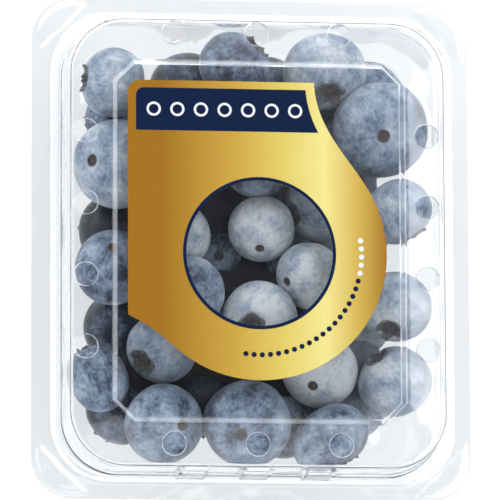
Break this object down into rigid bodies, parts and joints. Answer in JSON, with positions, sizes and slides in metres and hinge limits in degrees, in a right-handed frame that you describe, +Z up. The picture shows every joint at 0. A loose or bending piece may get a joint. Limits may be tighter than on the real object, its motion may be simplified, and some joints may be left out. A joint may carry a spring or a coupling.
{
  "type": "punnet of blueberries",
  "caption": "Clear hinged clamshell punnet filled with large blueberries, its vented lid carrying a die-cut gold and navy label with a round window.",
  "frame": {"origin": "centre of the pack's outline on the surface that it stands on", "axes": "+Z up, +Y towards the lid's hinge, +X to the right as the opening front edge is faced"},
  "size_m": [0.1046, 0.12, 0.0395],
  "materials": {
    "tray_film": "clear thermoformed sheet",
    "lid_film": "clear thermoformed sheet",
    "label": "gold foil sticker with navy print",
    "berries": "blueberry skin with pale waxy bloom"
  },
  "bodies": {
    "tray": {"base": "tray_film", "berries": "berries"},
    "lid": {"lid": "lid_film", "label": "label"}
  },
  "joints": [
    {"name": "lid_hinge", "type": "hinge", "parent": "tray", "child": "lid", "pos_m": [0, 0.06, 0.025], "axis": [-1, 0, 0], "range_deg": [0, 180]}
  ]
}
